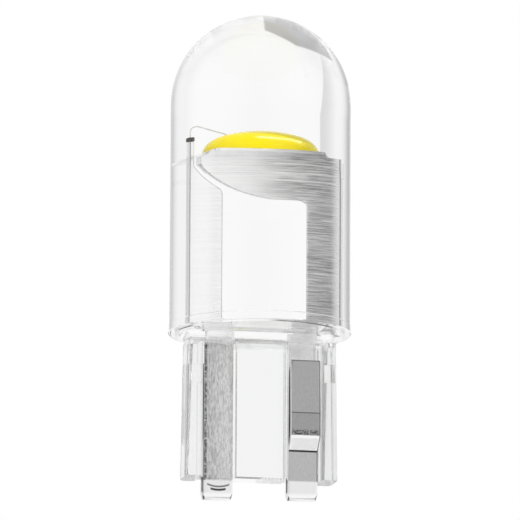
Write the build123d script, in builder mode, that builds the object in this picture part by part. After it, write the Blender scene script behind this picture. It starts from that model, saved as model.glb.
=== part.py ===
from build123d import *
import os

os.makedirs("parts", exist_ok=True)

# A plug-in wedge base LED bulb. The origin is on the bulb's axis, on the face
# that seats against the lamp holder. +Z points to the dome, X runs along the
# width of the wedge. All sizes are in millimetres.

# Clear envelope
body_radius = 5.0
body_length = 13.0
flange_height = 0.5
flange_overhang = 0.06
flange_chamfer = 0.05
seat_radius = 4.7
seat_height = 0.08

# Wedge base
base_width = 8.3
base_length = 8.05
rib_width = 0.8
rib_thickness = 2.2
rib_rounding = 0.36
block_width = 2.9
block_thickness = 2.0
block_rounding = 0.15
web_thickness = 0.9
root_height = 0.5
root_fillet = 0.4
detent_depth = 0.12
detent_height = 1.0
detent_drop = 1.65

# Stamped lead frame
lead_thickness = 0.3
lead_span = 6.6
lead_gap = 0.3
lead_shoulder = 0.45
anvil_arm_width = 1.5
post_arm_width = 1.72
strip_width = 1.62
strip_offset = 2.31

# Anvil plate and its headed top
pad_height = 9.77
pad_thickness = 0.15
pad_width = 5.4
pad_depth = 4.6
pad_corner = 0.25
anvil_reach = 2.66
anvil_tip = 0.4
anvil_web = 2.35
anvil_curve_end = 0.45
anvil_sagitta = 0.37
anvil_corner = 0.35
head_steps = (0.9, 0.5)
head_step = 0.06

# Post, which carries the wire
post_rise = 0.75
post_corner = 0.5
bead_width = 0.34
bead_height = 0.22
bead_rounding = 0.05

# Folded contact legs
fold_drop = 1.15
leg_clearance = 0.05
leg_jog_low = 1.6
leg_jog_rise = 0.75
leg_bump = 0.75
leg_bump_length = 1.25
leg_lean = 0.15
leg_end = 1.5
fold_radius = 0.3
bump_radius = 0.2
lean_radius = 0.15

# Light source
die_size = 0.76
die_height = 0.15
die_pitch = 1.2
attach_height = 0.03
attach_margin = 0.04
wire_diameter = 0.06
wire_sides = 6
wire_loop = 0.75
wire_bend = 0.3
wire_dip = 0.55
link_loop = 0.25
link_bend = 0.1
bond_inset = 0.2
pad_bond_reach = 0.75
phosphor_radius = 2.3
phosphor_height = 1.3
phosphor_crown = 0.6
phosphor_rounding = 1.0

# Places worked out from the sizes above
lead_edge = lead_span / 2
anvil_top = pad_height + pad_thickness
attach_top = anvil_top + attach_height
die_top = attach_top + die_height
post_top = anvil_top + post_rise
neck_width = lead_edge - anvil_reach - lead_gap
neck_x = -lead_edge + neck_width / 2
bead_top = post_top + bead_height
leg_y = web_thickness / 2 + leg_clearance + lead_thickness / 2
fold_z = -base_length - fold_drop + lead_thickness / 2
rib_x = base_width / 2 - rib_width / 2


def tail_outline(side):
    """The narrow tail of one lead, from the shoulder to the end of the base."""
    length = base_length + lead_shoulder
    with BuildSketch(Plane.XZ) as tail:
        with Locations((side * strip_offset, lead_shoulder - length / 2)):
            Rectangle(strip_width, length)
    return tail.sketch


def leg_outline(side):
    """The tail past the base, folded up its groove with a raised contact bump."""
    out = -side
    jog_z = -base_length + leg_jog_low
    bump_z = jog_z + leg_jog_rise
    bump_y = leg_y + leg_bump
    points = [
        (0, -base_length),
        (0, fold_z),
        (out * leg_y, fold_z),
        (out * leg_y, jog_z),
        (out * bump_y, bump_z),
        (out * bump_y, bump_z + leg_bump_length),
        (out * (bump_y - leg_lean), -leg_end),
    ]
    radii = [fold_radius, fold_radius, bump_radius, bump_radius, lean_radius]
    with BuildSketch(Plane.YZ.offset(side * strip_offset - strip_width / 2)) as leg:
        with BuildLine():
            FilletPolyline(*points, radius=radii)
        trace(line_width=lead_thickness)
    return leg.sketch


def anvil_outline():
    """The plate with its curved lower edge and the arm that drops from it."""
    tip_z = pad_height - anvil_tip
    web_z = pad_height - anvil_web
    arm_x = lead_edge - anvil_arm_width
    with BuildSketch(Plane.XZ) as plate:
        with BuildLine():
            Polyline((-anvil_reach, tip_z), (-anvil_reach, anvil_top), (lead_edge, anvil_top))
            Polyline((lead_edge, anvil_top), (lead_edge, lead_shoulder), (arm_x, lead_shoulder))
            FilletPolyline(
                (arm_x, lead_shoulder), (arm_x, web_z), (anvil_curve_end, web_z), radius=anvil_corner
            )
            SagittaArc((anvil_curve_end, web_z), (-anvil_reach, tip_z), -anvil_sagitta)
        make_face()
    return plate.sketch


# Anvil lead: plate, arm, tail and folded leg, with the pad headed on its top
with BuildPart() as anvil_lead:
    extrude(anvil_outline(), amount=lead_thickness / 2, both=True)
    extrude(tail_outline(1), amount=lead_thickness / 2, both=True)
    extrude(leg_outline(1), amount=strip_width)
    for number, drop in enumerate(head_steps, start=1):
        with BuildSketch(Plane.XZ):
            add(anvil_outline())
            with Locations((0, pad_height - drop)):
                Rectangle(lead_span, drop, align=(Align.CENTER, Align.MIN), mode=Mode.INTERSECT)
        extrude(amount=lead_thickness / 2 + number * head_step, both=True)
    with BuildSketch(Plane.XY.offset(pad_height)):
        RectangleRounded(pad_width, pad_depth, pad_corner)
    extrude(amount=pad_thickness)
anvil_lead.part.label = "anvil_lead"

# Post lead: its head follows the anvil's curve at an even gap
with BuildPart() as post_lead:
    with BuildSketch(Plane.XZ) as post_face:
        with BuildLine():
            Polyline(
                (-lead_edge, lead_shoulder),
                (-lead_edge, post_top),
                (neck_x + neck_width / 2, post_top),
                (neck_x + neck_width / 2, pad_height),
                (-lead_edge + post_arm_width, pad_height),
                (-lead_edge + post_arm_width, lead_shoulder),
                close=True,
            )
        make_face()
        offset(anvil_outline(), amount=lead_gap, mode=Mode.SUBTRACT)
        fillet(post_face.vertices().group_by(Axis.X)[-1].sort_by(Axis.Y)[-1], post_corner)
    extrude(amount=lead_thickness / 2, both=True)
    extrude(tail_outline(-1), amount=lead_thickness / 2, both=True)
    extrude(leg_outline(-1), amount=strip_width)
post_lead.part.label = "post_lead"

# Solder bead that holds the wire on the post
with BuildPart() as wire_bead:
    with BuildSketch(Plane.XY.offset(post_top)):
        with Locations((neck_x, 0)):
            Rectangle(bead_width, lead_thickness)
    extrude(amount=bead_height)
    fillet(wire_bead.edges().group_by(Axis.Z)[-1], bead_rounding)
wire_bead.part.label = "wire_bead"

# Four dies in series, each on its own film of die attach
die_places = [(-1, -1), (-1, 1), (1, 1), (1, -1)]
die_places = [Vector(x * die_pitch / 2, y * die_pitch / 2) for x, y in die_places]
attach_parts = []
die_parts = []
for number, place in enumerate(die_places, start=1):
    with BuildPart() as attach:
        with BuildSketch(Plane.XY.offset(anvil_top)):
            with Locations(place):
                Rectangle(die_size + 2 * attach_margin, die_size + 2 * attach_margin)
        extrude(amount=attach_height)
    attach.part.label = f"die_attach_{number}"
    attach_parts.append(attach.part)
    with BuildPart() as die:
        with BuildSketch(Plane.XY.offset(attach_top)):
            with Locations(place):
                Rectangle(die_size, die_size)
        extrude(amount=die_height)
    die.part.label = f"led_die_{number}"
    die_parts.append(die.part)


def bond_point(number, towards):
    """A point on top of a die, set off from its centre towards a target."""
    centre = die_places[number] + Vector(0, 0, die_top)
    direction = Vector(towards.X - centre.X, towards.Y - centre.Y, 0).normalized()
    return centre + direction * bond_inset


def wire_part(points, radii):
    """A fine wire along straight runs joined by tangent bends, with a six-sided section."""
    with BuildPart() as wire:
        with BuildLine():
            FilletPolyline(*points, radius=radii)
        with BuildSketch(Plane(origin=points[0], z_dir=points[1] - points[0])):
            RegularPolygon(wire_diameter / 2, side_count=wire_sides)
        sweep()
    return wire.part


def loop_points(start, finish, height):
    """Up from one end, across and down to the other end."""
    top = max(start.Z, finish.Z) + height
    return [start, Vector(start.X, start.Y, top), Vector(finish.X, finish.Y, top), finish]


# Wires: post to first die, die to die, last die to the pad
post_bond = Vector(neck_x, 0, bead_top)
first_bond = bond_point(0, post_bond)
wire_parts = {
    "wire_post": wire_part(
        [
            post_bond,
            post_bond + Vector(0, 0, wire_loop),
            first_bond + Vector(0, 0, wire_dip),
            first_bond,
        ],
        [wire_bend, wire_bend],
    )
}
for number in range(len(die_places) - 1):
    start = bond_point(number, die_places[number + 1])
    finish = bond_point(number + 1, die_places[number])
    points = loop_points(start, finish, link_loop)
    wire_parts[f"wire_link_{number + 1}"] = wire_part(points, [link_bend, link_bend])
pad_target = die_places[-1] + Vector(pad_bond_reach, 0, anvil_top)
pad_points = loop_points(bond_point(len(die_places) - 1, pad_target), pad_target, link_loop)
wire_parts["wire_pad"] = wire_part(pad_points, [link_bend, link_bend])
for name, part in wire_parts.items():
    part.label = name

# Phosphor dome, moulded over the dies and their wires
with BuildPart() as dome_form:
    dome_top = anvil_top + phosphor_height
    with BuildSketch(Plane.XZ) as dome_face:
        with BuildLine():
            Polyline((0, dome_top), (0, anvil_top), (phosphor_radius, anvil_top))
            Line((phosphor_radius, anvil_top), (phosphor_radius, dome_top - phosphor_crown))
            TangentArc((0, dome_top), (phosphor_radius, dome_top - phosphor_crown), tangent=(1, 0))
        make_face()
        fillet(dome_face.vertices().group_by(Axis.X)[-1].sort_by(Axis.Y)[-1], phosphor_rounding)
    revolve(axis=Axis.Z)
with BuildPart() as phosphor_dome:
    add(dome_form.part)
    add(attach_parts + die_parts + list(wire_parts.values()), mode=Mode.SUBTRACT)
phosphor_dome.part.label = "phosphor_dome"

# Clear capsule: envelope and wedge base in one moulding round the lead frame
with BuildPart() as capsule:
    flange_radius = body_radius + flange_overhang
    with BuildSketch(Plane.XZ):
        with BuildLine():
            Polyline(
                (0, body_length + body_radius),
                (0, 0),
                (seat_radius, 0),
                (seat_radius, seat_height),
                (flange_radius - flange_chamfer, seat_height),
                (flange_radius, seat_height + flange_chamfer),
                (flange_radius, flange_height),
                (body_radius, flange_height + flange_overhang),
                (body_radius, body_length),
            )
            CenterArc((0, body_length), body_radius, start_angle=0, arc_size=90)
        make_face()
    revolve(axis=Axis.Z)
    # Root of the wedge, blended into the seat
    with BuildSketch():
        RectangleRounded(base_width, rib_thickness, rib_rounding)
    extrude(amount=-root_height)
    fillet(capsule.edges(Select.LAST).group_by(Axis.Z)[-1], root_fillet)
    # Ribs, middle block and the thin webs that hold the lead tails
    with BuildSketch(Plane.XY.offset(-root_height)):
        Rectangle(base_width - rib_width, web_thickness)
        with Locations((rib_x, 0), (-rib_x, 0)):
            RectangleRounded(rib_width, rib_thickness, rib_rounding)
        RectangleRounded(block_width, block_thickness, block_rounding)
    extrude(amount=root_height - base_length)
    # Detent across one face of each rib
    for side in (1, -1):
        with BuildSketch(Plane.XZ.offset(side * rib_thickness / 2)):
            with Locations((side * rib_x, -detent_drop - detent_height / 2)):
                Rectangle(2 * rib_width, detent_height)
        extrude(amount=-side * detent_depth, mode=Mode.SUBTRACT)
    add([anvil_lead.part, post_lead.part, wire_bead.part, dome_form.part], mode=Mode.SUBTRACT)
    add(wire_parts["wire_post"], mode=Mode.SUBTRACT)
capsule.part.label = "capsule"

pieces = [capsule.part, anvil_lead.part, post_lead.part, wire_bead.part, phosphor_dome.part]
pieces += attach_parts + die_parts + list(wire_parts.values())
for piece in pieces:
    export_step(piece, f"parts/{piece.label}.step")
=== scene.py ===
from math import acos, asin, atan2, cos, pi, radians, sin, sqrt, tan

import bmesh
import bpy
from mathutils import Matrix, Quaternion, Vector


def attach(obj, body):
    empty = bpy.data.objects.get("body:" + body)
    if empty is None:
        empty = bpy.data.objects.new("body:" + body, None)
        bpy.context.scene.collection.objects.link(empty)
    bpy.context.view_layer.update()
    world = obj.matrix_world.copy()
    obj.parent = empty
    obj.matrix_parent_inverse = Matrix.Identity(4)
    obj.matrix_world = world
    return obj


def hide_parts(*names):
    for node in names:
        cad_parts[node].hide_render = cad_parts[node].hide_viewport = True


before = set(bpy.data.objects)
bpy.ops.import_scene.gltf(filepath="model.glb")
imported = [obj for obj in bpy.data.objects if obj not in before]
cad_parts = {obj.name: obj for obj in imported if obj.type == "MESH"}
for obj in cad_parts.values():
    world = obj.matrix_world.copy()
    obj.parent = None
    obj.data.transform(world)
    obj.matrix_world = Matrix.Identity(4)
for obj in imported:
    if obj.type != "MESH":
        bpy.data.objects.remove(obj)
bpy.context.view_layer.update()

MM = 0.001

# Lengths are in millimetres and angles in degrees. The shapes have the part's own sizes, except where said

# Clear envelope
BODY_RADIUS = 5.0
BODY_LENGTH = 13.0
FLANGE_HEIGHT = 0.5
FLANGE_OVERHANG = 0.06
FLANGE_CHAMFER = 0.05
SEAT_RADIUS = 4.7
SEAT_HEIGHT = 0.08

# Wedge base. The block's edges are sharper than the part's, which round by 0.15
BASE_WIDTH = 8.3
BASE_LENGTH = 8.05
RIB_WIDTH = 0.8
RIB_THICKNESS = 2.2
RIB_ROUNDING = 0.36
BLOCK_WIDTH = 2.9
BLOCK_THICKNESS = 2.0
BLOCK_ROUNDING = 0.06
WEB_THICKNESS = 0.9
ROOT_HEIGHT = 0.5
ROOT_FILLET = 0.4
DETENT_DEPTH = 0.12
DETENT_HEIGHT = 1.0
DETENT_DROP = 1.65

# Not in the part: rounded corners of the webs, the angle at which the root's fillet meets the seat, and how
# much the base widens towards its end on each side
WEB_ROUNDING = 0.12
ROOT_BREAK = 25.0
BASE_FLARE = 0.1

# Lead frame
LEAD_THICKNESS = 0.3
LEAD_EDGE = 3.3
LEAD_GAP = 0.3
LEAD_SHOULDER = 0.45
ANVIL_ARM_WIDTH = 1.5
POST_ARM_WIDTH = 1.72
STRIP_WIDTH = 1.62
STRIP_OFFSET = 2.31
PAD_HEIGHT = 9.77
PAD_THICKNESS = 0.15
PAD_WIDTH = 5.4
PAD_DEPTH = 4.6
PAD_CORNER = 0.25
ANVIL_REACH = 2.66
ANVIL_TIP = 0.4
ANVIL_WEB = 2.35
ANVIL_CURVE_END = 0.45
ANVIL_SAGITTA = 0.37
ANVIL_CORNER = 0.35
HEAD_STEPS = (0.9, 0.5)
HEAD_STEP = 0.06
POST_RISE = 0.75
POST_CORNER = 0.5

# Folded contact legs
FOLD_DROP = 1.15
LEG_CLEARANCE = 0.05
LEG_JOG_LOW = 1.6
LEG_JOG_RISE = 0.75
LEG_BUMP = 0.75
LEG_BUMP_LENGTH = 1.25
LEG_LEAN = 0.15
LEG_END = 1.5
FOLD_RADIUS = 0.3
BUMP_RADIUS = 0.2
LEAN_RADIUS = 0.15

# Not in the part: eased edges of the plates, of the folds and of the whole leads
PLATE_EASING = 0.07
FOLD_EASING = 0.15
LEAD_EASING = 0.03

# Phosphor
PHOSPHOR_RADIUS = 2.3
PHOSPHOR_HEIGHT = 1.3
PHOSPHOR_CROWN = 0.6
PHOSPHOR_ROUNDING = 1.0

# How finely round stretches are cut
ROUND_STEPS = 192
DOME_STEPS = ROUND_STEPS // 4
ARC_STEPS = 24
CORNER_STEPS = 8
LEG_CORNER_STEPS = 10
PLATE_EASING_STEPS = 3
FOLD_EASING_STEPS = 4
LEAD_EASING_STEPS = 2
PHOSPHOR_STEPS = 96
PHOSPHOR_CROWN_STEPS = 40
PHOSPHOR_ROUNDING_STEPS = 16

# How far the root reaches into the body, and the block that cuts out a coined step past the plate
ROOT_OVERLAP = 0.1
KEEP_MARGIN = 1.0

# Vertices nearer to each other than this are one, in metres
SAME_VERTEX = 1e-7

# How much further in than the rounding's end the phosphor's crown has to start
CROWN_MARGIN = 1e-6

# Edges that turn by more than these angles stay sharp
SHARP_EDGE = 30
CAPSULE_SHARP_EDGE = 20
PHOSPHOR_SHARP_EDGE = 40

# Edges that turn by more than this are eased
EASED_EDGE = 35

ANVIL_TOP = PAD_HEIGHT + PAD_THICKNESS
POST_TOP = ANVIL_TOP + POST_RISE
LEG_Y = WEB_THICKNESS / 2 + LEG_CLEARANCE + LEAD_THICKNESS / 2
FOLD_END = -BASE_LENGTH - FOLD_DROP
FOLD_Z = FOLD_END + LEAD_THICKNESS / 2
JOG_LOW_Z = -BASE_LENGTH + LEG_JOG_LOW
JOG_HIGH_Z = JOG_LOW_Z + LEG_JOG_RISE
LEAN_Z = JOG_HIGH_Z + LEG_BUMP_LENGTH
STRIP_HALF = STRIP_WIDTH / 2

# In the looks, names with LIMIT, ABOVE, BELOW, BEYOND or WITHIN hold a limit and how soft it is.
# SPOTS, SEAT_REFLECTION_ARCS, UPRIGHT_SIDES and UPRIGHT_FADE hold a low limit, a high one and how soft both edges are

# The clear moulding: its index, and its colours in the body, the base and the ribs
CLEAR_INDEX = 1.41
BODY_TINT = (0.985, 0.988, 0.986)
BASE_TINT = (0.93, 0.934, 0.932)
RIB_TINT = (0.875, 0.88, 0.878)
BASE_TINT_BELOW = (-0.3, 0.4)
RIB_TINT_BEYOND = (BASE_WIDTH / 2 - RIB_WIDTH, 0.1)
WAVE_STRENGTH = 0.02
WAVE_DEPTH = 0.1

# Rays that were mirrored oftener than this pass straight on, before the renderer would end them in black
MIRROR_LIMIT = 3.5

# How milky the ribs and the flange's underside are, and the matt strip on the seat beside the block
RIB_MILK = 0.16
UNDERSIDE_MILK = 0.22
UNDERSIDE_MARGIN = 0.03
UNDERSIDE_EDGE = 0.04
MATT_LENGTH = 2.2
MATT_NEAR = 1.9
MATT_FAR = 2.55
MATT_EDGE = 0.2
MATT_LEVEL = 0.02
MATT_LEVEL_EDGE = 0.01

# The stretches of the seat's low step with a painted dark reflection: first angle and last to the right of
# the front, and softness
SEAT_REFLECTION_ARCS = ((-4, 48, 14), (-84, -62, 8))
SEAT_REFLECTION_COVER = 0.8
SEAT_REFLECTION_GREY = 0.1
SEAT_REFLECTION_REACH = 0.03
SEAT_REFLECTION_MARGIN = 0.005
SEAT_REFLECTION_EDGE = 0.01

# Scales of the noises along X, Y and Z, for each metre
MOULD_WAVES = (260.0, 260.0, 120.0)
HEAD_BRUSHING = (420.0, 3000.0, 15000.0)
HEAD_STREAKS = (1100.0, 3000.0, 32000.0)
HEAD_PATCHES = (300.0, 3000.0, 1500.0)
TAIL_DASHES = (17000.0, 3000.0, 4000.0)
TAIL_SPECKS = (9000.0, 3000.0, 16000.0)
LEG_SPECKLE = (9000.0, 9000.0, 12000.0)
LONG_GRAIN = (15000.0, 3000.0, 9000.0)
GEL_CLOUDS = (900.0, 900.0, 900.0)

# Greys by a noise: a low value and the grey there, a high value and the grey there
HAZE_GREYS = (0.3, 0.86, 0.7, 0.93)
QUIET_GREYS = (0.3, 0.88, 0.7, 0.95)
STREAKED_GREYS = (0.38, 0.38, 0.62, 0.86)
POST_GREYS = (0.3, 0.93, 0.7, 0.96)
LEFT_TAIL_GREYS = (0.34, 0.62, 0.6, 0.9)
LEFT_TAIL_SHADE_GREYS = (0.34, 0.42, 0.6, 0.74)
RIGHT_TAIL_GREYS = (0.34, 0.76, 0.6, 0.92)
SIDE_SHADE_GREYS = (0.35, 0.1, 0.65, 0.34)
LEG_TOP_SHADE_GREYS = (0.3, 0.44, 0.7, 0.48)
LEG_FLAT_SHADE_GREYS = (0.3, 0.38, 0.7, 0.43)
LEG_FOOT_SHADE_GREYS = (0.3, 0.54, 0.7, 0.6)

# Tones of the leads' head
# The head's darker streaked tones to the right, in patches and on the arm
STREAKED_BEYOND = (0.5, 2.4)
PATCH_LIMIT = (0.41, 0.2)
ARM_BEYOND = (LEAD_EDGE - ANVIL_ARM_WIDTH, 0.5)
ARM_STREAKING = 0.8
STREAKING_ABOVE = (0.6, 0.3)
POST_HEAD_WITHIN = (-2.1, 0.4)
# Painted highlight lines across the head: their drops below the pad, half their thickness, and where they
# start
HEAD_HIGHLIGHT_DROPS = (0.36, 0.87, 1.27)
HEAD_HIGHLIGHT_HALF = 0.035
HEAD_HIGHLIGHT_BEYOND = (0.4, 0.6)
# A painted highlight along the anvil's right edge: where it starts and how soft
EDGE_HIGHLIGHT_BEYOND = (LEAD_EDGE - 0.4, 0.36)
# A painted shade line near both plates' outer edges, and its grey
EDGE_SHADE_LINE = (LEAD_EDGE - 0.13, LEAD_EDGE - 0.06)
EDGE_SHADE_GREY = 0.4
LINE_EDGE = 0.03

# Tones of the tails
# A painted shade across the left tail, darker towards its outer side: where it starts and how soft
TAIL_SHADE_BEYOND = (0.1, 1.5)
# Dark specks along the left tail's outer edge: where they start, their noise limit and their grey
SPECKED_BEYOND = (STRIP_HALF - 0.14, 0.05)
SPECK_LIMIT = (0.52, 0.06)
SPECK_GREY = 0.1

# Tones of the folds. The painted dark reflections have a height, half a thickness, half a length and a grey
FOLD_GREY = 0.98
REFLECTION_BOW = 0.33
FOLD_REFLECTIONS = ((-8.5, 0.05, 0.62, 0.25), (-8.68, 0.06, 0.42, 0.08))
REFLECTION_EDGE = 0.05
REFLECTION_END_EDGE = 0.1
# Painted shade in the folds' bottom corners: how far out, how low, and the grey
CORNER_SHADE_BEYOND = (STRIP_HALF - 0.08, 0.06)
CORNER_SHADE_BELOW = (FOLD_END + 0.17, 0.1)
CORNER_SHADE_GREY = 0.12

# Tones of the contact legs, with painted shade on the flats, a painted highlight on the jog and painted shade
# lines in the creases and along the edges
LEG_BAND_EDGE = 0.04
JOG_HIGHLIGHT_GREY = 0.97
JOG_EDGE = 0.06
SPOTS = (JOG_HIGH_Z - 0.02, JOG_HIGH_Z + 0.28, 0.16)
SPOT_LIMIT = (0.5, 0.06)
SPOT_GREY = 0.07
# Painted shade lines in the jog's crease, along the lean's crease, at the leg's tip and along its rim
JOG_CREASE = (JOG_LOW_Z - 0.07, JOG_LOW_Z + 0.02)
JOG_CREASE_SHADE_GREY = 0.03
LEAN_CREASE = (LEAN_Z - 0.03, LEAN_Z + 0.03)
LEAN_CREASE_SHADE_GREY = 0.16
LEG_TIP = -LEG_END - 0.05
LEG_RIM = STRIP_HALF - 0.05
LEG_EDGE_SHADE_GREY = 0.2

# Where the plate's tones meet, with the distances from the middle plane at which a leg starts and a tail ends
TAIL_BELOW = (-0.5, 0.3)
LEG_DISTANCE = 0.36
TAIL_DISTANCE = 0.2
FOLD_BELOW = (-BASE_LENGTH - 0.1, 0.1)

# A face whose normal has more than this much of X is a sheared side, which gets a painted shade
SIDEWAYS = 0.8
SIDE_GREY = 0.8

# The plate's finish
PLATE_ROUGHNESS = 0.22
SMOOTH_POST_WITHIN = (-2.1, 0.6)
TAIL_BUMP = 0.3
PLATE_BUMP_STRENGTH = 0.8
PLATE_BUMP_DEPTH = 0.03

# The phosphor's finish and its two yellows
GEL_ROUGHNESS = 0.12
GEL_SPECULAR = 0.12
GEL_YELLOWS = ((0.3, (1.0, 0.79, 0.0)), (0.7, (1.0, 0.84, 0.002)))

# Where the noise turns from one tone of a small piece to the other
SMALL_PIECE_LOW = 0.35
SMALL_PIECE_HIGH = 0.65

# Camera. Its nearest and its farthest are in metres
CAMERA_AZIMUTH = -11.5
CAMERA_ELEVATION = -11.0
CAMERA_DISTANCE = 400.0
CAMERA_ROLL = 0.3
CAMERA_NEAREST = 0.01
CAMERA_FARTHEST = 10.0
PIXELS_PER_MM = 18.1
IMAGE_SIZE = 520
TARGET_Z = 4.28
SENSOR = 36.0

# Floor
FLOOR_DROP = 75.0
FLOOR_SIZE = 3000.0
FLOOR_GREY = 0.9

# The studio's light, as a share of white, and its soft shades. A shade has a centre, a width and a depth.
# Angles count to the right, from the front for the front shade and glow and else from behind, or upwards
STUDIO_LIGHT = 0.97
FRONT_SHADE = (-17, 25, 0.54)
FRONT_SHADE_RISE = (10, 32)
FRONT_GLOW = (38, 15, 0.06)
SIDE_SHADES = ((93, 20, 0.93), (-58, 12.5, 0.8))

# The grey flag low behind: both sides, its top straight behind, its top's slope and highest place
FLAG_SIDES = (-36, 9.5)
FLAG_TOP = -21.5
FLAG_SLOPE = -0.69
FLAG_HIGHEST = -17.5
FLAG_EDGE = 2
FLAG_DIM = 0.47

# The upright shade behind on the left: both sides, how it leans, and between which angles it fades
UPRIGHT_SIDES = (-60, -15, 0.8)
UPRIGHT_SHIFT = 2.8
UPRIGHT_LEAN = -0.2
UPRIGHT_FADE = (-23, 60, 16)
UPRIGHT_DIM = 0.24

# The lamp from the front: the way to it from the pad, the way its depth lies, and its distance, width, depth
# and level
FILL_LAMP = ((-0.198, -0.74, 0.643), (-0.166, -0.62, -0.766), 160, 160, 120, 2.9)

# The lamps of the streak on the phosphor: start and finish as X and Y of a unit vector, and width
STREAKS = (((-0.1, -0.08), (0.33, -0.2), 34), ((0.33, -0.2), (0.74, 0.27), 26))
STREAK_DISTANCE = 120
STREAK_LEVEL = 130.0


# Meshes


def rounded(points, radii, steps=CORNER_STEPS, closed=True):
    """The outline through points with each corner rounded by its own radius."""
    out = []
    count = len(points)
    for i, point in enumerate(points):
        corner = Vector(point)
        if radii[i] <= 0 or (not closed and i in (0, count - 1)):
            out.append(tuple(corner))
            continue
        before = (Vector(points[i - 1]) - corner).normalized()
        after = (Vector(points[(i + 1) % count]) - corner).normalized()
        half = acos(max(-1.0, min(1.0, before.dot(after)))) / 2
        middle = (before + after).normalized()
        centre = corner + middle * (radii[i] / sin(half))
        start = corner + before * (radii[i] / tan(half)) - centre
        finish = corner + after * (radii[i] / tan(half)) - centre
        turn = start.angle_signed(finish)
        for step in range(steps + 1):
            angle = -turn * step / steps
            x = centre.x + start.x * cos(angle) - start.y * sin(angle)
            y = centre.y + start.x * sin(angle) + start.y * cos(angle)
            out.append((x, y))
    return out


def mesh_object(name, vertices, faces):
    """A new object from points in millimetres."""
    mesh = bpy.data.meshes.new(name)
    mesh.from_pydata([tuple(c * MM for c in v) for v in vertices], [], faces)
    obj = bpy.data.objects.new(name, mesh)
    bpy.context.scene.collection.objects.link(obj)
    work = bmesh.new()
    work.from_mesh(mesh)
    bmesh.ops.remove_doubles(work, verts=work.verts, dist=SAME_VERTEX)
    bmesh.ops.recalc_face_normals(work, faces=work.faces)
    work.to_mesh(mesh)
    work.free()
    return obj


def stacked(name, rings):
    """A closed solid through rings of points, each as many, with flat ends."""
    size = len(rings[0])
    vertices = [v for ring in rings for v in ring]
    faces = [tuple(range(size - 1, -1, -1))]
    for level in range(len(rings) - 1):
        base = level * size
        for i in range(size):
            j = (i + 1) % size
            faces.append((base + i, base + j, base + size + j, base + size + i))
    last = (len(rings) - 1) * size
    faces.append(tuple(last + i for i in range(size)))
    return mesh_object(name, vertices, faces)


def slab(name, outline, reach):
    """An outline in X and Z pushed along Y, as far to the front as to the back."""
    return stacked(name, [[(x, y, z) for x, z in outline] for y in (-reach, reach)])


def column(name, outline, first, last):
    """An outline in X and Y pushed along Z from one height to the other."""
    return stacked(name, [[(x, y, z) for x, y in outline] for z in (first, last)])


def revolved(name, profile, steps=ROUND_STEPS):
    """A solid of revolution about Z. The profile runs from the axis to the axis."""
    rings = []
    vertices = []
    for radius, z in profile:
        if radius <= 0:
            rings.append([len(vertices)])
            vertices.append((0, 0, z))
            continue
        rings.append(list(range(len(vertices), len(vertices) + steps)))
        for i in range(steps):
            angle = 2 * pi * i / steps
            vertices.append((radius * cos(angle), radius * sin(angle), z))
    faces = []
    for low, high in zip(rings, rings[1:]):
        for i in range(steps):
            j = (i + 1) % steps
            face = [low[i % len(low)], low[j % len(low)], high[j % len(high)], high[i % len(high)]]
            faces.append(tuple(dict.fromkeys(face)))
    return mesh_object(name, vertices, faces)


def combine(target, other, operation):
    """Applies one exact boolean to the target and removes the other object."""
    tool = target.modifiers.new("combine", "BOOLEAN")
    tool.operation = operation
    tool.solver = "EXACT"
    tool.object = other
    apply_modifiers(target)
    bpy.data.objects.remove(other)


def apply_modifiers(obj):
    """Replaces the object's mesh by what its modifiers make of it."""
    graph = bpy.context.evaluated_depsgraph_get()
    mesh = bpy.data.meshes.new_from_object(obj.evaluated_get(graph))
    obj.modifiers.clear()
    obj.data = mesh


def ease_edges(obj, width, segments):
    """Rounds the sharp edges a little."""
    bevel = obj.modifiers.new("ease", "BEVEL")
    bevel.width = width * MM
    bevel.segments = segments
    bevel.limit_method = "ANGLE"
    bevel.angle_limit = radians(EASED_EDGE)
    bevel.use_clamp_overlap = True
    apply_modifiers(obj)


def smooth(obj, angle=SHARP_EDGE):
    """Smooth shading, with edges over the angle kept sharp and flat faces kept flat."""
    obj.data.validate()
    obj.data.shade_smooth()
    obj.data.set_sharp_from_angle(angle=radians(angle))
    weights = obj.modifiers.new("weights", "WEIGHTED_NORMAL")
    weights.keep_sharp = True
    apply_modifiers(obj)


# Shader nodes. Helpers that add nodes to a tree return the last one's output


def fill_socket(tree, socket, value):
    """Sets a socket to a number or a colour, or feeds it by another node's output."""
    if isinstance(value, bpy.types.NodeSocket):
        tree.links.new(value, socket)
    elif isinstance(value, tuple):
        socket.default_value = (*value, 1.0)
    else:
        socket.default_value = value


def compute(tree, operation, *values):
    """A Math node fed by numbers or by other nodes' outputs."""
    node = tree.nodes.new("ShaderNodeMath")
    node.operation = operation
    for socket, value in zip(node.inputs, values):
        fill_socket(tree, socket, value)
    return node.outputs["Value"]


def product(tree, value, *others):
    """Values multiplied with each other."""
    for other in others:
        value = compute(tree, "MULTIPLY", value, other)
    return value


def separated(tree, source):
    """The three parts of a vector."""
    node = tree.nodes.new("ShaderNodeSeparateXYZ")
    tree.links.new(source, node.inputs["Vector"])
    return node.outputs["X"], node.outputs["Y"], node.outputs["Z"]


def object_axes(tree):
    """Object coordinates in millimetres."""
    place = tree.nodes.new("ShaderNodeTexCoord")
    return [compute(tree, "DIVIDE", part, MM) for part in separated(tree, place.outputs["Object"])]


def stretched_noise(tree, scale, detail=6.0):
    """Noise in object coordinates, stretched by a scale along each axis."""
    place = tree.nodes.new("ShaderNodeTexCoord")
    mapping = tree.nodes.new("ShaderNodeMapping")
    mapping.inputs["Scale"].default_value = scale
    noise = tree.nodes.new("ShaderNodeTexNoise")
    noise.inputs["Scale"].default_value = 1.0
    noise.inputs["Detail"].default_value = detail
    tree.links.new(place.outputs["Object"], mapping.inputs["Vector"])
    tree.links.new(mapping.outputs["Vector"], noise.inputs["Vector"])
    return noise.outputs["Fac"]


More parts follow.
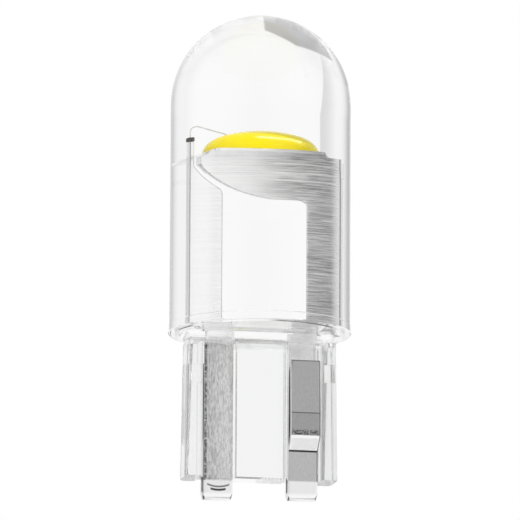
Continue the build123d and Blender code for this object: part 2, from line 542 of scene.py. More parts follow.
def ramp(tree, source, *stops):
    """A colour ramp from (place, colour) stops."""
    node = tree.nodes.new("ShaderNodeValToRGB")
    for element, (place, colour) in zip(node.color_ramp.elements, stops):
        element.position = place
        element.color = (*colour, 1.0)
    tree.links.new(source, node.inputs["Fac"])
    return node.outputs["Color"]


def grey(level):
    """A neutral colour."""
    return (level, level, level)


def grey_ramp(tree, source, low, dark, high, light):
    """A grey that runs from dark at low to light at high."""
    return ramp(tree, source, (low, grey(dark)), (high, grey(light)))


def soft_step(tree, value, limit, edge, before, after):
    """A number that turns into another where a value passes a limit, with an edge as soft as asked."""
    node = tree.nodes.new("ShaderNodeMapRange")
    node.interpolation_type = "SMOOTHSTEP"
    node.inputs["From Min"].default_value = limit - edge / 2
    node.inputs["From Max"].default_value = limit + edge / 2
    node.inputs["To Min"].default_value = before
    node.inputs["To Max"].default_value = after
    tree.links.new(value, node.inputs["Value"])
    return node.outputs["Result"]


def above(tree, value, limit, edge):
    """1 where a value lies above a limit."""
    return soft_step(tree, value, limit, edge, 0.0, 1.0)


def below(tree, value, limit, edge):
    """1 where a value lies below a limit."""
    return soft_step(tree, value, limit, edge, 1.0, 0.0)


def between(tree, value, low, high, edge):
    """1 where a value lies between two limits."""
    return product(tree, above(tree, value, low, edge), below(tree, value, high, edge))


def bell(tree, angle, centre, width):
    """1 at a centre, falling off smoothly over a width."""
    off = compute(tree, "DIVIDE", compute(tree, "SUBTRACT", angle, centre), width)
    return compute(tree, "EXPONENT", product(tree, off, off, -1.0))


def blended(tree, factor, low, high, data="RGBA", kind="RGBA"):
    """One colour or another by a factor, or one number or another by data FLOAT and kind VALUE."""
    node = tree.nodes.new("ShaderNodeMix")
    node.data_type = data
    tree.links.new(factor, node.inputs["Factor"])
    for name, value in (("A", low), ("B", high)):
        fill_socket(tree, next(s for s in node.inputs if s.name == name and s.type == kind), value)
    return next(s for s in node.outputs if s.type == kind)


def mixed(tree, factor, low, high):
    """One shader or another by a factor."""
    node = tree.nodes.new("ShaderNodeMixShader")
    tree.links.new(factor, node.inputs["Fac"])
    tree.links.new(low, node.inputs[1])
    tree.links.new(high, node.inputs[2])
    return node.outputs["Shader"]


def bumped(tree, shader, height, strength, depth):
    """Gives a shader the bumps of a height."""
    bump = tree.nodes.new("ShaderNodeBump")
    bump.inputs["Strength"].default_value = strength
    bump.inputs["Distance"].default_value = depth * MM
    tree.links.new(height, bump.inputs["Height"])
    tree.links.new(bump.outputs["Normal"], shader.inputs["Normal"])


def new_material(name):
    """An empty node material: the material, its tree and its surface socket."""
    material = bpy.data.materials.new(name)
    material.use_nodes = True
    tree = material.node_tree
    tree.nodes.clear()
    output = tree.nodes.new("ShaderNodeOutputMaterial")
    return material, tree, output.inputs["Surface"]


# Clear moulding


def matt_share(tree, x, y, z, ribs):
    """How matt the moulding is: wholly in a strip on the seat, a little on the ribs and under the flange."""
    share = between(tree, z, -MATT_LEVEL, MATT_LEVEL, MATT_LEVEL_EDGE)
    along = below(tree, compute(tree, "ABSOLUTE", x), MATT_LENGTH, MATT_EDGE)
    aside = between(tree, compute(tree, "ABSOLUTE", y), MATT_NEAR, MATT_FAR, MATT_EDGE)
    share = product(tree, share, along, aside)
    share = compute(tree, "MAXIMUM", share, product(tree, ribs, RIB_MILK))
    underside = between(tree, z, -UNDERSIDE_MARGIN, SEAT_HEIGHT + UNDERSIDE_MARGIN, UNDERSIDE_EDGE)
    return compute(tree, "MAXIMUM", share, product(tree, underside, UNDERSIDE_MILK))


def painted_reflection_share(tree, x, y, z):
    """Where a dark reflection is painted on the low step round the seat."""
    squares = compute(tree, "ADD", product(tree, x, x), product(tree, y, y))
    radius = compute(tree, "SQRT", squares)
    angle = compute(tree, "DEGREES", compute(tree, "ARCTAN2", x, product(tree, y, -1.0)))
    step = between(tree, z, SEAT_REFLECTION_MARGIN, SEAT_HEIGHT - SEAT_REFLECTION_MARGIN, SEAT_REFLECTION_EDGE)
    outside = compute(tree, "GREATER_THAN", radius, SEAT_RADIUS - SEAT_REFLECTION_REACH)
    arcs = [between(tree, angle, *reflection_arc) for reflection_arc in SEAT_REFLECTION_ARCS]
    return product(tree, step, outside, compute(tree, "MAXIMUM", *arcs))


def clear_material():
    """Clear moulded plastic that lets the lamps through to the metal inside it."""
    material, tree, surface = new_material("clear_plastic")
    x, y, z = object_axes(tree)
    base = below(tree, z, *BASE_TINT_BELOW)
    ribs = product(tree, above(tree, compute(tree, "ABSOLUTE", x), *RIB_TINT_BEYOND), base)
    tint = blended(tree, ribs, blended(tree, base, BODY_TINT, BASE_TINT), RIB_TINT)
    waves = stretched_noise(tree, MOULD_WAVES, detail=2.0)
    glass = tree.nodes.new("ShaderNodeBsdfPrincipled")
    glass.inputs["Transmission Weight"].default_value = 1.0
    glass.inputs["IOR"].default_value = CLEAR_INDEX
    glass.inputs["Roughness"].default_value = 0.0
    tree.links.new(tint, glass.inputs["Base Color"])
    bumped(tree, glass, waves, WAVE_STRENGTH, WAVE_DEPTH)
    clear = tree.nodes.new("ShaderNodeBsdfTransparent")
    path = tree.nodes.new("ShaderNodeLightPath")
    deep = compute(tree, "GREATER_THAN", path.outputs["Glossy Depth"], MIRROR_LIMIT)
    passing = compute(tree, "MAXIMUM", path.outputs["Is Shadow Ray"], deep)
    polished = mixed(tree, passing, glass.outputs["BSDF"], clear.outputs["BSDF"])
    # A painted dark reflection on the seat's low step, in a dark matt grey
    painted_reflection = painted_reflection_share(tree, x, y, z)
    matt = compute(tree, "MAXIMUM", matt_share(tree, x, y, z, ribs), product(tree, painted_reflection, SEAT_REFLECTION_COVER))
    haze = tree.nodes.new("ShaderNodeBsdfDiffuse")
    pale = grey_ramp(tree, waves, *HAZE_GREYS)
    tree.links.new(blended(tree, painted_reflection, pale, grey(SEAT_REFLECTION_GREY)), haze.inputs["Color"])
    tree.links.new(mixed(tree, matt, polished, haze.outputs["BSDF"]), surface)
    return material


# Tin plate


def head_tone(tree, x, z):
    """The head: quiet brushing on the left, darker and streaked to the right, painted highlight lines along
    the coined steps, a painted highlight along the anvil's right edge and a painted shade line near both
    outer edges.
    """
    brushing = stretched_noise(tree, HEAD_BRUSHING)
    quiet = grey_ramp(tree, brushing, *QUIET_GREYS)
    # Darker streaked tones to the right of the head
    streaked = grey_ramp(tree, stretched_noise(tree, HEAD_STREAKS, detail=8.0), *STREAKED_GREYS)
    patches = above(tree, stretched_noise(tree, HEAD_PATCHES, detail=3.0), *PATCH_LIMIT)
    arm = product(tree, above(tree, x, *ARM_BEYOND), ARM_STREAKING)
    streaking = product(tree, compute(tree, "MAXIMUM", patches, arm), above(tree, z, *STREAKING_ABOVE))
    tone = blended(tree, product(tree, above(tree, x, *STREAKED_BEYOND), streaking), quiet, streaked)
    tone = blended(tree, below(tree, x, *POST_HEAD_WITHIN), tone, grey_ramp(tree, brushing, *POST_GREYS))
    # Painted highlight lines near the coined steps
    for drop in HEAD_HIGHLIGHT_DROPS:
        step = PAD_HEIGHT - drop
        line = between(tree, z, step - HEAD_HIGHLIGHT_HALF, step + HEAD_HIGHLIGHT_HALF, LINE_EDGE)
        line = product(tree, line, above(tree, x, *HEAD_HIGHLIGHT_BEYOND))
        tone = blended(tree, line, tone, grey(1.0))
    # A painted highlight, white, along the anvil's right edge
    tone = blended(tree, above(tree, x, *EDGE_HIGHLIGHT_BEYOND), tone, grey(1.0))
    # A painted shade line near both plates' outer edges
    line = between(tree, compute(tree, "ABSOLUTE", x), *EDGE_SHADE_LINE, LINE_EDGE)
    return blended(tree, line, tone, grey(EDGE_SHADE_GREY))


def from_middle(tree, x):
    """How far out a point lies from the middle line of its strip."""
    return compute(tree, "SUBTRACT", compute(tree, "ABSOLUTE", x), STRIP_OFFSET)


def tail_tone(tree, x):
    """The tails in the base: dashes along the strip, a painted shade towards the left one's outer side, dark
    specks at its edge, paler on the right.
    """
    off = from_middle(tree, x)
    dashes = stretched_noise(tree, TAIL_DASHES)
    pale = grey_ramp(tree, dashes, *LEFT_TAIL_GREYS)
    shaded = grey_ramp(tree, dashes, *LEFT_TAIL_SHADE_GREYS)
    # A painted shade, darker towards the left tail's outer side
    tone = blended(tree, above(tree, off, *TAIL_SHADE_BEYOND), pale, shaded)
    # Dark specks along the left tail's outer edge
    specks = below(tree, stretched_noise(tree, TAIL_SPECKS), *SPECK_LIMIT)
    specked = product(tree, above(tree, off, *SPECKED_BEYOND), specks)
    tone = blended(tree, specked, tone, grey(SPECK_GREY))
    right = compute(tree, "GREATER_THAN", x, 0.0)
    return blended(tree, right, tone, grey_ramp(tree, dashes, *RIGHT_TAIL_GREYS))


def fold_tone(tree, x, z):
    """The folds under the base: bright, with painted shade in the bottom corners and two curved painted dark
    reflections on the left one.
    """
    off = from_middle(tree, x)
    level = compute(tree, "SUBTRACT", z, product(tree, off, off, REFLECTION_BOW))
    left = compute(tree, "LESS_THAN", x, 0.0)
    tone = grey(FOLD_GREY)
    # Two curved painted dark reflections on the left fold
    for height, thick, reach, dark in FOLD_REFLECTIONS:
        line = between(tree, level, height - thick, height + thick, REFLECTION_EDGE)
        short = between(tree, off, -reach, reach, REFLECTION_END_EDGE)
        tone = blended(tree, product(tree, line, short, left), tone, grey(dark))
    # Painted shade in the folds' bottom corners
    side = above(tree, compute(tree, "ABSOLUTE", off), *CORNER_SHADE_BEYOND)
    corner = product(tree, side, below(tree, z, *CORNER_SHADE_BELOW))
    return blended(tree, corner, tone, grey(CORNER_SHADE_GREY))


def leg_tone(tree, x, z, grain):
    """The contact legs: flats darkened by painted shade, a painted highlight on the jog between them and
    painted shade in the creases and along the edges.
    """
    # Painted shade on the leg's flats, a different grey on each facet
    tone = grey_ramp(tree, grain, *LEG_TOP_SHADE_GREYS)
    flat = below(tree, z, LEAN_Z, LEG_BAND_EDGE)
    tone = blended(tree, flat, tone, grey_ramp(tree, grain, *LEG_FLAT_SHADE_GREYS))
    spots = below(tree, stretched_noise(tree, LEG_SPECKLE), *SPOT_LIMIT)
    tone = blended(tree, product(tree, between(tree, z, *SPOTS), spots), tone, grey(SPOT_GREY))
    # A painted highlight on the jog
    jog = between(tree, z, JOG_LOW_Z, JOG_HIGH_Z, JOG_EDGE)
    tone = blended(tree, jog, tone, grey(JOG_HIGHLIGHT_GREY))
    foot = below(tree, z, JOG_LOW_Z, LEG_BAND_EDGE)
    tone = blended(tree, foot, tone, grey_ramp(tree, grain, *LEG_FOOT_SHADE_GREYS))
    # Painted shade lines in the creases and along the leg's tip and rim
    lines = (
        (between(tree, z, *JOG_CREASE, LINE_EDGE), JOG_CREASE_SHADE_GREY),
        (between(tree, z, *LEAN_CREASE, LINE_EDGE), LEAN_CREASE_SHADE_GREY),
        (above(tree, z, LEG_TIP, LINE_EDGE), LEG_EDGE_SHADE_GREY),
        (above(tree, from_middle(tree, x), LEG_RIM, LINE_EDGE), LEG_EDGE_SHADE_GREY),
    )
    for line, level in lines:
        tone = blended(tree, line, tone, grey(level))
    return tone


def side_shade_tone(tree, x, out, tail, grain):
    """The tone of the sheared sides, a painted shade chosen by which way a face points, darkest on the tails'
    outward sides in the base, and where they are.
    """
    facing = tree.nodes.new("ShaderNodeNewGeometry")
    turned = separated(tree, facing.outputs["Normal"])[0]
    side = compute(tree, "GREATER_THAN", compute(tree, "ABSOLUTE", turned), SIDEWAYS)
    outwards = compute(tree, "GREATER_THAN", product(tree, turned, x), 0.0)
    # Painted shade, darkest on the tails' outward sides in the base
    shaded_outer_side = product(tree, compute(tree, "LESS_THAN", out, TAIL_DISTANCE), tail, outwards)
    return blended(tree, shaded_outer_side, grey(SIDE_GREY), grey_ramp(tree, grain, *SIDE_SHADE_GREYS)), side


def plated_material():
    """Bright tin plate, brushed across the head, speckled along the tails and darker on the contact legs by
    painted shade.
    """
    material, tree, surface = new_material("tin_plate")
    x, y, z = object_axes(tree)
    out = compute(tree, "ABSOLUTE", y)
    across = stretched_noise(tree, HEAD_BRUSHING)
    along = stretched_noise(tree, LONG_GRAIN)
    tail = below(tree, z, *TAIL_BELOW)
    tone = blended(tree, tail, head_tone(tree, x, z), tail_tone(tree, x))
    leg = product(tree, compute(tree, "GREATER_THAN", out, LEG_DISTANCE), tail)
    tone = blended(tree, leg, tone, leg_tone(tree, x, z, along))
    tone = blended(tree, below(tree, z, *FOLD_BELOW), tone, fold_tone(tree, x, z))
    side_shade, side = side_shade_tone(tree, x, out, tail, along)
    side = product(tree, side, compute(tree, "LESS_THAN", z, PAD_HEIGHT))
    tone = blended(tree, side, tone, side_shade)
    metal = tree.nodes.new("ShaderNodeBsdfPrincipled")
    metal.inputs["Metallic"].default_value = 1.0
    metal.inputs["Roughness"].default_value = PLATE_ROUGHNESS
    tree.links.new(tone, metal.inputs["Base Color"])
    brushed = product(tree, across, above(tree, x, *SMOOTH_POST_WITHIN))
    height = blended(tree, tail, brushed, product(tree, along, TAIL_BUMP), data="FLOAT", kind="VALUE")
    bumped(tree, metal, height, PLATE_BUMP_STRENGTH, PLATE_BUMP_DEPTH)
    tree.links.new(metal.outputs["BSDF"], surface)
    return material


# Other materials


def phosphor_material():
    """Saturated yellow gel with a smooth skin and faint clouding."""
    material, tree, surface = new_material("yellow_gel")
    gel = tree.nodes.new("ShaderNodeBsdfPrincipled")
    gel.inputs["Roughness"].default_value = GEL_ROUGHNESS
    gel.inputs["Specular IOR Level"].default_value = GEL_SPECULAR
    clouds = stretched_noise(tree, GEL_CLOUDS, detail=4.0)
    tree.links.new(ramp(tree, clouds, *GEL_YELLOWS), gel.inputs["Base Color"])
    tree.links.new(gel.outputs["BSDF"], surface)
    return material


def plain_material(name, low, high, metallic, roughness, grain):
    """A small inner piece: two close tones by noise."""
    material, tree, surface = new_material(name)
    shader = tree.nodes.new("ShaderNodeBsdfPrincipled")
    shader.inputs["Metallic"].default_value = metallic
    shader.inputs["Roughness"].default_value = roughness
    noise = stretched_noise(tree, (grain, grain, grain), detail=4.0)
    tone = ramp(tree, noise, (SMALL_PIECE_LOW, low), (SMALL_PIECE_HIGH, high))
    tree.links.new(tone, shader.inputs["Base Color"])
    tree.links.new(shader.outputs["BSDF"], surface)
    return material


CLEAR = clear_material()
PLATED = plated_material()
PHOSPHOR = phosphor_material()
SOLDER = plain_material("dull_solder", (0.06, 0.05, 0.045), (0.16, 0.145, 0.13), 0.6, 0.45, 6000.0)
WIRE = plain_material("fine_wire", (0.78, 0.77, 0.74), (0.9, 0.89, 0.86), 1.0, 0.4, 9000.0)
DIE = plain_material("polished_die", (0.12, 0.2, 0.34), (0.2, 0.3, 0.46), 0.2, 0.15, 4000.0)
ATTACH = plain_material("silver_film", (0.5, 0.5, 0.48), (0.62, 0.62, 0.6), 0.7, 0.5, 8000.0)
NODE_MATERIALS = (("led_die", DIE), ("die_attach", ATTACH), ("wire_bead", SOLDER), ("wire_", WIRE))


def dress(obj, material, node_slot, *nodes):
    """Gives a new piece its material and its body, and hides the CAD nodes it stands for. The slot is not
    used.
    """
    obj.data.materials.clear()
    obj.data.materials.append(material)
    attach(obj, "root")
    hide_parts(*nodes)


# Capsule


def rounded_rectangle(width, depth, radius, z, grow=0.0):
    """A ring of points round a rectangle grown outwards by a little."""
    x, y = width / 2 + grow, depth / 2 + grow
    corners = [(x, -y), (x, y), (-x, y), (-x, -y)]
    return [(px, py, z) for px, py in rounded(corners, [radius + grow] * 4)]


def base_outline():
    """The section of the wedge: two ribs, the middle block and thin webs between them."""
    rib_out = BASE_WIDTH / 2
    rib_in = rib_out - RIB_WIDTH
    rib_y = RIB_THICKNESS / 2
    web_y = WEB_THICKNESS / 2
    block_x = BLOCK_WIDTH / 2
    block_y = BLOCK_THICKNESS / 2
    quarter = [
        (rib_out, rib_y, RIB_ROUNDING),
        (rib_in, rib_y, RIB_ROUNDING),
        (rib_in, web_y, WEB_ROUNDING),
        (block_x, web_y, WEB_ROUNDING),
        (block_x, block_y, BLOCK_ROUNDING),
    ]
    half = quarter + [(-x, y, r) for x, y, r in reversed(quarter)]
    whole = half + [(-x, -y, r) for x, y, r in half]
    return rounded([(x, y) for x, y, r in whole], [r for x, y, r in whole])


def body_profile():
    """The body from its seat up, with the flange and the round top."""
    flange = BODY_RADIUS + FLANGE_OVERHANG
    profile = [
        (0, 0),
        (SEAT_RADIUS, 0),
        (SEAT_RADIUS, SEAT_HEIGHT),
        (flange - FLANGE_CHAMFER, SEAT_HEIGHT),
        (flange, SEAT_HEIGHT + FLANGE_CHAMFER),
        (flange, FLANGE_HEIGHT),
        (BODY_RADIUS, FLANGE_HEIGHT + FLANGE_OVERHANG),
        (BODY_RADIUS, BODY_LENGTH),
    ]
    for step in range(1, DOME_STEPS):
        angle = pi / 2 * step / DOME_STEPS
        profile.append((BODY_RADIUS * cos(angle), BODY_LENGTH + BODY_RADIUS * sin(angle)))
    return profile + [(0, BODY_LENGTH + BODY_RADIUS)]


def make_root():
    """The thick root of the wedge, with a fillet that meets the seat at a break."""
    first = radians(ROOT_BREAK)
    levels = [(ROOT_OVERLAP, ROOT_FILLET * (1 - sin(first)))]
    for step in range(CORNER_STEPS + 1):
        angle = first + (pi / 2 - first) * step / CORNER_STEPS
        levels.append((-ROOT_FILLET * (cos(first) - cos(angle)), ROOT_FILLET * (1 - sin(angle))))
    levels.append((-ROOT_HEIGHT, 0.0))
    rings = [rounded_rectangle(BASE_WIDTH, RIB_THICKNESS, RIB_ROUNDING, z, grow) for z, grow in levels]
    return stacked("root", rings)


def cut_detents(capsule):
    """A shallow notch across one face of each rib."""
    rib_x = (BASE_WIDTH - RIB_WIDTH) / 2
    for side in (1, -1):
        x, y = side * rib_x, -side * RIB_THICKNESS / 2
        corners = ((1, 1), (-1, 1), (-1, -1), (1, -1))
        outline = [(x + dx * RIB_WIDTH, y + dy * DETENT_DEPTH) for dx, dy in corners]
        cutter = column("detent", outline, -DETENT_DROP - DETENT_HEIGHT, -DETENT_DROP)
        combine(capsule, cutter, "DIFFERENCE")


def flare_ribs(capsule):
    """Widens the wedge a little towards its end, by its outer sides."""
    for vertex in capsule.data.vertices:
        drop = -vertex.co.z / MM - ROOT_HEIGHT
        if drop > 0 and abs(vertex.co.x) / MM > BASE_WIDTH / 2 - RIB_WIDTH / 2:
            flare = BASE_FLARE * drop / (BASE_LENGTH - ROOT_HEIGHT) * MM
            vertex.co.x += flare if vertex.co.x > 0 else -flare


def make_capsule():
    """The clear moulding as one outer skin, with the metal straight inside it."""
    capsule = revolved("clear_capsule", body_profile())
    combine(capsule, make_root(), "UNION")
    combine(capsule, column("wedge", base_outline(), -ROOT_HEIGHT / 2, -BASE_LENGTH), "UNION")
    cut_detents(capsule)
    flare_ribs(capsule)
    smooth(capsule, CAPSULE_SHARP_EDGE)
    dress(capsule, CLEAR, "clear_moulding", "capsule")


# Leads


def strip_outline(path, thickness):
    """Both sides of a strip that follows a path."""
    left, right = [], []
    for i, point in enumerate(path):
        here = Vector(point)
        before = (here - Vector(path[i - 1])).normalized() if i > 0 else None
        after = (Vector(path[i + 1]) - here).normalized() if i < len(path) - 1 else None
        along = ((before or after) + (after or before)).normalized()
        across = Vector((-along.y, along.x)) * thickness / 2
        if before and after:
            across /= cos(acos(max(-1.0, min(1.0, before.dot(after)))) / 2)
        left.append(tuple(here + across))
        right.append(tuple(here - across))
    return left + right[::-1]


def leg_path(side):
    """The centre line of the folded leg, in Y and Z."""
    out = -side
    bump_y = LEG_Y + LEG_BUMP
    corners = [
        (0, LEAD_SHOULDER, 0),
        (0, FOLD_Z, FOLD_RADIUS),
        (out * LEG_Y, FOLD_Z, FOLD_RADIUS),
        (out * LEG_Y, JOG_LOW_Z, BUMP_RADIUS),
        (out * bump_y, JOG_HIGH_Z, BUMP_RADIUS),
        (out * bump_y, LEAN_Z, LEAN_RADIUS),
        (out * (bump_y - LEG_LEAN), -LEG_END, 0),
    ]
    points = [(y, z) for y, z, r in corners]
    return rounded(points, [r for y, z, r in corners], steps=LEG_CORNER_STEPS, closed=False)


def tail(side):
    """The strip through the base with its folded leg, the fold's corners rounded off."""
    outline = strip_outline(leg_path(side), LEAD_THICKNESS)
    quarter = [pi / 2 * step / FOLD_EASING_STEPS for step in range(FOLD_EASING_STEPS + 1)]
    rings = []
    for end, angle in [(-1, a) for a in quarter] + [(1, a) for a in reversed(quarter)]:
        inset = FOLD_EASING * (1 - cos(angle))
        lift = FOLD_EASING * (1 - sin(angle))
        x = side * STRIP_OFFSET + end * (STRIP_HALF - inset)
        rings.append([(x, y, z + lift * min(1, max(0, -BASE_LENGTH - z) / FOLD_DROP)) for y, z in outline])
    return stacked("tail", rings)


def anvil_curve():
    """The anvil's lower edge, from its tip down to the web: an arc's centre, radius, first angle and span."""
    tip = Vector((-ANVIL_REACH, PAD_HEIGHT - ANVIL_TIP))
    web = Vector((ANVIL_CURVE_END, PAD_HEIGHT - ANVIL_WEB))
    chord = web - tip
    length = chord.length
    radius = (length * length / 4 + ANVIL_SAGITTA * ANVIL_SAGITTA) / (2 * ANVIL_SAGITTA)
    outward = Vector((chord.y, -chord.x)).normalized()
    centre = (tip + web) / 2 - outward * (radius - ANVIL_SAGITTA)
    first = atan2(tip.y - centre.y, tip.x - centre.x)
    return centre, radius, first, 2 * asin(length / 2 / radius)


def arc_points(centre, radius, first, span):
    """Points along an arc, from its first angle and turning by its span."""
    angles = [first + span * i / ARC_STEPS for i in range(ARC_STEPS + 1)]
    return [(centre.x + radius * cos(angle), centre.y + radius * sin(angle)) for angle in angles]


def rectangle(right, low, high):
    """The corners of a rectangle as far to the left of the axis as to the right."""
    return [(-right, low), (right, low), (right, high), (-right, high)]


def anvil_outline():
    """The plate with its curved lower edge and the arm that drops from it."""
    arm_x = LEAD_EDGE - ANVIL_ARM_WIDTH
    curve = arc_points(*anvil_curve())
    bend = [curve[-1], (arm_x, PAD_HEIGHT - ANVIL_WEB), (arm_x, LEAD_SHOULDER)]
    corner = rounded(bend, [0, ANVIL_CORNER, 0], closed=False)
    right = [(LEAD_EDGE, LEAD_SHOULDER), (LEAD_EDGE, ANVIL_TOP)]
    return curve + corner[1:] + right + [(-ANVIL_REACH, ANVIL_TOP)]


def post_outline():
    """The plate that follows the anvil's curve at an even gap, with the arm that drops from it."""
    centre, anvil_radius = anvil_curve()[:2]
    radius = anvil_radius + LEAD_GAP
    neck_right = -ANVIL_REACH - LEAD_GAP
    arm_right = -LEAD_EDGE + POST_ARM_WIDTH
    start, finish = [
        atan2(-sqrt(radius**2 - (x - centre.x) ** 2), x - centre.x) for x in (neck_right, arm_right)
    ]
    curve = arc_points(centre, radius, start, finish - start)
    # The curve's last few points give the direction that its corner is rounded from
    bend = [curve[-4], curve[-1], (arm_right, LEAD_SHOULDER)]
    corner = rounded(bend, [0, POST_CORNER, 0], closed=False)[1:]
    outline = [(-LEAD_EDGE, LEAD_SHOULDER), (-LEAD_EDGE, POST_TOP), (neck_right, POST_TOP)]
    return outline + [point for point in curve if point[0] < corner[0][0]] + corner


def make_plate(name, outline):
    """A lead's flat plate with its outline eased."""
    plate = slab(name, outline, LEAD_THICKNESS / 2)
    ease_edges(plate, PLATE_EASING, PLATE_EASING_STEPS)
    return plate


def finish_lead(lead, side, node):
    """Joins a lead with its tail and its leg."""
    combine(lead, tail(side), "UNION")
    ease_edges(lead, LEAD_EASING, LEAD_EASING_STEPS)
    smooth(lead)
    dress(lead, PLATED, "plated_lead", node)


def make_anvil():
    """The anvil lead with its stepped head and pad."""
    outline = anvil_outline()
    anvil = make_plate("brushed_anvil_lead", outline)
    for number, drop in enumerate(HEAD_STEPS, start=1):
        reach = LEAD_THICKNESS / 2 + number * HEAD_STEP
        step = slab("step", outline, reach)
        keep = rectangle(LEAD_EDGE + KEEP_MARGIN, PAD_HEIGHT - drop, ANVIL_TOP + KEEP_MARGIN)
        combine(step, slab("keep", keep, 2 * reach), "INTERSECT")
        combine(anvil, step, "UNION")
    rings = [rounded_rectangle(PAD_WIDTH, PAD_DEPTH, PAD_CORNER, z) for z in (PAD_HEIGHT, ANVIL_TOP)]
    combine(anvil, stacked("pad", rings), "UNION")
    finish_lead(anvil, 1, "anvil_lead")


def make_post():
    """The post lead."""
    finish_lead(make_plate("brushed_post_lead", post_outline()), -1, "post_lead")


# Phosphor and small pieces


def phosphor_profile():
    """The dome's side, the rounding that touches both side and crown, and the crown."""
    top = ANVIL_TOP + PHOSPHOR_HEIGHT
    crown_radius = (PHOSPHOR_RADIUS**2 + PHOSPHOR_CROWN**2) / (2 * PHOSPHOR_CROWN)
    crown_centre = top - crown_radius
    centre_r = PHOSPHOR_RADIUS - PHOSPHOR_ROUNDING
    centre_z = crown_centre + sqrt((crown_radius - PHOSPHOR_ROUNDING) ** 2 - centre_r**2)
    reach = atan2(centre_z - crown_centre, centre_r)
    profile = [(0, ANVIL_TOP), (PHOSPHOR_RADIUS, ANVIL_TOP)]
    for step in range(PHOSPHOR_ROUNDING_STEPS + 1):
        angle = reach * step / PHOSPHOR_ROUNDING_STEPS
        profile.append((centre_r + PHOSPHOR_ROUNDING * cos(angle), centre_z + PHOSPHOR_ROUNDING * sin(angle)))
    outermost = profile[-1][0] - CROWN_MARGIN
    for step in range(PHOSPHOR_CROWN_STEPS):
        angle = asin(PHOSPHOR_RADIUS / crown_radius) * (1 - step / PHOSPHOR_CROWN_STEPS)
        r = crown_radius * sin(angle)
        if r < outermost:
            profile.append((r, top - crown_radius * (1 - cos(angle))))
    return profile + [(0, top)]


def make_phosphor():
    """The dome of phosphor gel, smooth all over."""
    dome = revolved("yellow_phosphor_dome", phosphor_profile(), PHOSPHOR_STEPS)
    smooth(dome, PHOSPHOR_SHARP_EDGE)
    dress(dome, PHOSPHOR, "phosphor", "phosphor_dome")
    return dome


def dress_nodes():
    """Materials for the small CAD nodes that stay."""
    for name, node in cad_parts.items():
        for start, material in NODE_MATERIALS:
            if name.startswith(start):
                node.data.materials.clear()
                node.data.materials.append(material)
                break


# Stage, light and camera


def make_floor():
    """A wide pale floor well below the bulb, which is held in the air as in the photo."""
    half = FLOOR_SIZE / 2
    corners = [(x, y, -FLOOR_DROP) for x, y in ((-half, -half), (half, -half), (half, half), (-half, half))]
    floor = mesh_object("floor", corners, [(0, 1, 2, 3)])
    material, tree, surface = new_material("pale_floor")
    pale = tree.nodes.new("ShaderNodeBsdfDiffuse")
    pale.inputs["Color"].default_value = (*grey(FLOOR_GREY), 1.0)
    tree.links.new(pale.outputs["BSDF"], surface)
    floor.data.materials.append(material)
    floor.visible_glossy = False
    floor.visible_transmission = False


def studio_light(tree):
    """How bright the studio is in each direction, with its shades, its flag and its glow."""
    place = tree.nodes.new("ShaderNodeTexCoord")
    x, y, z = separated(tree, place.outputs["Generated"])
    back = compute(tree, "DEGREES", compute(tree, "ARCTAN2", x, y))
    front = compute(tree, "DEGREES", compute(tree, "ARCTAN2", x, product(tree, y, -1.0)))
    rise = compute(tree, "DEGREES", compute(tree, "ARCSINE", z))
    centre, width, depth = FRONT_SHADE
    dim = product(tree, bell(tree, front, centre, width), depth, bell(tree, rise, *FRONT_SHADE_RISE))
    for centre, width, depth in SIDE_SHADES:
        dim = compute(tree, "MAXIMUM", dim, product(tree, bell(tree, back, centre, width), depth))
    top = compute(tree, "MULTIPLY_ADD", back, FLAG_SLOPE, FLAG_TOP)
    top = compute(tree, "MINIMUM", top, FLAG_HIGHEST)
    low = below(tree, compute(tree, "SUBTRACT", rise, top), 0.0, FLAG_EDGE)
    flag = product(tree, low, between(tree, back, *FLAG_SIDES, FLAG_EDGE), FLAG_DIM)
    leaned = compute(tree, "ADD", back, compute(tree, "MULTIPLY_ADD", rise, UPRIGHT_LEAN, UPRIGHT_SHIFT))
    sides = between(tree, leaned, *UPRIGHT_SIDES)
    upright_shade = product(tree, sides, between(tree, back, *UPRIGHT_FADE), UPRIGHT_DIM)
    dim = compute(tree, "MAXIMUM", compute(tree, "MAXIMUM", dim, flag), upright_shade)
    centre, width, more = FRONT_GLOW
    glow = compute(tree, "MULTIPLY_ADD", bell(tree, front, centre, width), more, STUDIO_LIGHT)
    return compute(tree, "SUBTRACT", glow, dim)


def make_world():
    """A white studio as the bulb mirrors it, darker in some directions, and plain white behind the bulb."""
    world = bpy.data.worlds.new("studio")
    bpy.context.scene.world = world
    world.use_nodes = True
    tree = world.node_tree
    tree.nodes.clear()
    output = tree.nodes.new("ShaderNodeOutputWorld")
    light, seen = [tree.nodes.new("ShaderNodeBackground") for _ in range(2)]
    for background in (light, seen):
        background.inputs["Color"].default_value = (1.0, 1.0, 1.0, 1.0)
    tree.links.new(studio_light(tree), light.inputs["Strength"])
    path = tree.nodes.new("ShaderNodeLightPath")
    both = mixed(tree, path.outputs["Is Camera Ray"], light.outputs["Background"], seen.outputs["Background"])
    tree.links.new(both, output.inputs["Surface"])


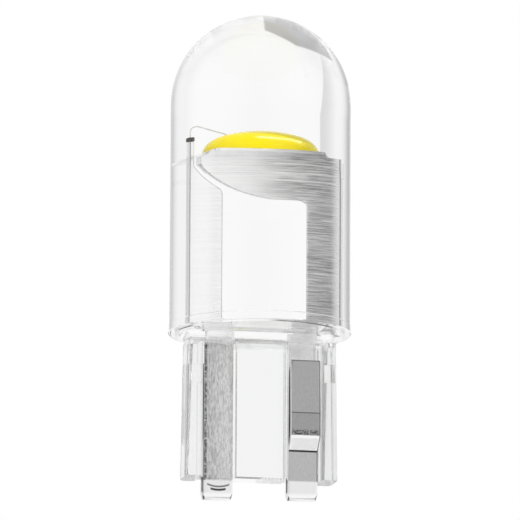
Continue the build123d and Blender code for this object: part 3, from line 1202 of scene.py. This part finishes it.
def make_camera():
    """A long lens from slightly below and to the left, as the photo was taken."""
    azimuth, elevation = radians(CAMERA_AZIMUTH), radians(CAMERA_ELEVATION)
    away = Vector((sin(azimuth) * cos(elevation), -cos(azimuth) * cos(elevation), sin(elevation)))
    target = Vector((0, 0, TARGET_Z * MM))
    data = bpy.data.cameras.new("camera")
    data.sensor_width = SENSOR
    data.lens = SENSOR * CAMERA_DISTANCE * PIXELS_PER_MM / IMAGE_SIZE
    data.clip_start = CAMERA_NEAREST
    data.clip_end = CAMERA_FARTHEST
    camera = bpy.data.objects.new("camera", data)
    camera.location = target + away * CAMERA_DISTANCE * MM
    turn = (-away).to_track_quat("-Z", "Y")
    camera.rotation_mode = "QUATERNION"
    camera.rotation_quaternion = turn @ Quaternion((0, 0, 1), radians(CAMERA_ROLL))
    bpy.context.scene.collection.objects.link(camera)
    bpy.context.scene.camera = camera


def make_lamp(name, away, across, distance, width, depth, level):
    """A rectangular lamp that faces the pad, its depth laid along across, as bright as level times white."""
    away = Vector(away).normalized()
    side = Vector(across).cross(away).normalized()
    data = bpy.data.lights.new(name, "AREA")
    data.shape = "RECTANGLE"
    data.size = width * MM
    data.size_y = depth * MM
    data.energy = level * pi * data.size * data.size_y
    lamp = bpy.data.objects.new(name, data)
    lamp.location = Vector((0, 0, PAD_HEIGHT * MM)) + away * distance * MM
    lamp.rotation_mode = "QUATERNION"
    lamp.rotation_quaternion = Matrix((side, away.cross(side), away)).transposed().to_quaternion()
    lamp.visible_glossy = False
    lamp.visible_transmission = False
    lamp.visible_camera = False
    bpy.context.scene.collection.objects.link(lamp)
    return lamp


def make_streak(name, start, finish, width, piece):
    """A lamp that one piece alone mirrors, in a strip of the sky from start to finish."""
    ends = [Vector((x, y, sqrt(1 - x * x - y * y))) for x, y in (start, finish)]
    across = ends[1] - ends[0]
    length = across.length * STREAK_DISTANCE
    lamp = make_lamp(name, ends[0] + ends[1], across, STREAK_DISTANCE, width, length, STREAK_LEVEL)
    lamp.visible_glossy = True
    lamp.visible_diffuse = False
    lit = bpy.data.collections.new(name)
    lit.objects.link(piece)
    lamp.light_linking.receiver_collection = lit
    # The gel lies inside the clear moulding, where only a ray straight to the lamp finds it
    lamp.data.cycles.use_multiple_importance_sampling = False


make_capsule()
make_anvil()
make_post()
phosphor_dome = make_phosphor()
dress_nodes()
make_lamp("fill_lamp", *FILL_LAMP)
for number, streak in enumerate(STREAKS, start=1):
    make_streak(f"streak_lamp_{number}", *streak, phosphor_dome)
make_floor()
make_world()
make_camera()
bpy.context.scene.view_settings.view_transform = "Standard"
